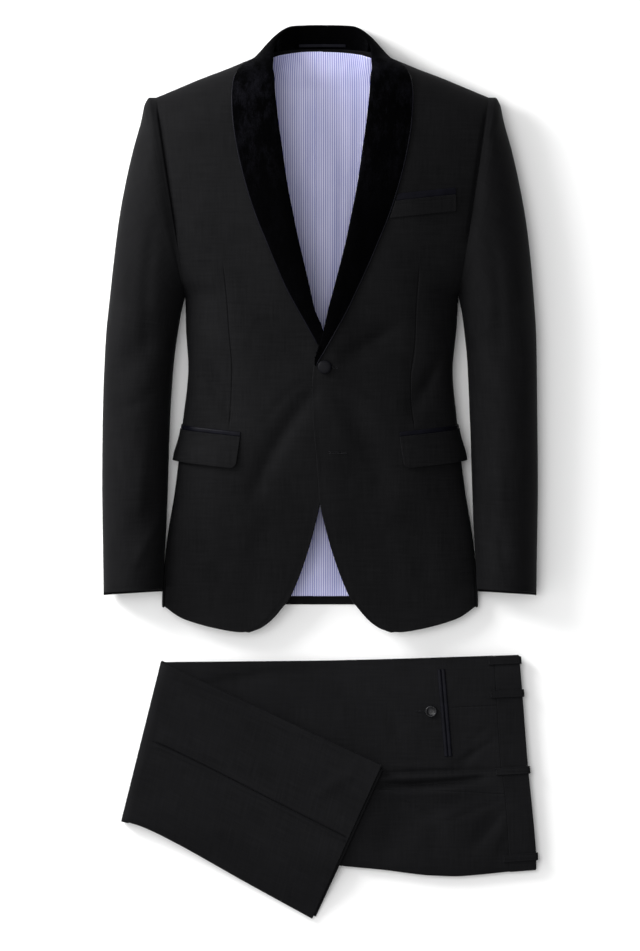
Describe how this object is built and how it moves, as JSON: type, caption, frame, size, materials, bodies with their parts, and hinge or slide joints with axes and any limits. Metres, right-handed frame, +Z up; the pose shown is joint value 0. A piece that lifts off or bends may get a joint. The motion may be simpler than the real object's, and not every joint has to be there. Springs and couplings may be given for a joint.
{
  "type": "tuxedo jacket and folded tuxedo trousers, laid out as a set",
  "caption": "Slim black shawl-collar tuxedo jacket lying on its back, filled out and buttoned, with its folded trousers laid below the hem.",
  "frame": {"origin": "middle of the whole layout on the surface that it lies on", "axes": "+Z up from the surface, +Y towards the jacket's collar, +X to the right seen from above with the collar at the top (the wearer's left side)"},
  "size_m": [0.5885, 1.2051, 0.1252],
  "materials": {
    "wool": "fine matt worsted wool, near-black charcoal",
    "trouser_wool": "the same worsted wool, folded and lightly pressed",
    "velvet": "deep black cotton velvet with an uneven nap",
    "satin": "black satin with a soft sheen, on jets, piping, welts and the covered button",
    "lining": "pale blue lining with fine upright stripes, soft sheen",
    "button": "polished black"
  },
  "bodies": {
    "root": {"front_left": "wool", "side_left": "wool", "back_left": "wool", "sleeve_left_top": "wool", "sleeve_left_under": "wool", "shawl_left": "velvet", "piping_left": "satin", "lining_left": "lining", "flap_left": "wool", "jet_left": "satin", "front_right": "wool", "side_right": "wool", "back_right": "wool", "sleeve_right_top": "wool", "sleeve_right_under": "wool", "shawl_right": "velvet", "piping_right": "satin", "lining_right": "lining", "flap_right": "wool", "jet_right": "satin", "collar_stand": "velvet", "hanger_loop": "satin", "hem_turn": "wool", "breast_welt": "wool", "breast_jet": "satin", "button_front": "satin", "trouser_back": "trouser_wool", "trouser_front": "trouser_wool", "waistband": "trouser_wool", "seat_layers": "trouser_wool", "waistband_under": "trouser_wool", "loop_centre_back": "trouser_wool", "loop_back": "trouser_wool", "loop_side": "trouser_wool", "loop_front": "trouser_wool", "leg_back": "trouser_wool", "leg_front": "trouser_wool", "leg_layers": "trouser_wool", "pocket_welt_front": "satin", "pocket_welt_back": "satin", "button_pocket": "button"}
  },
  "joints": []
}
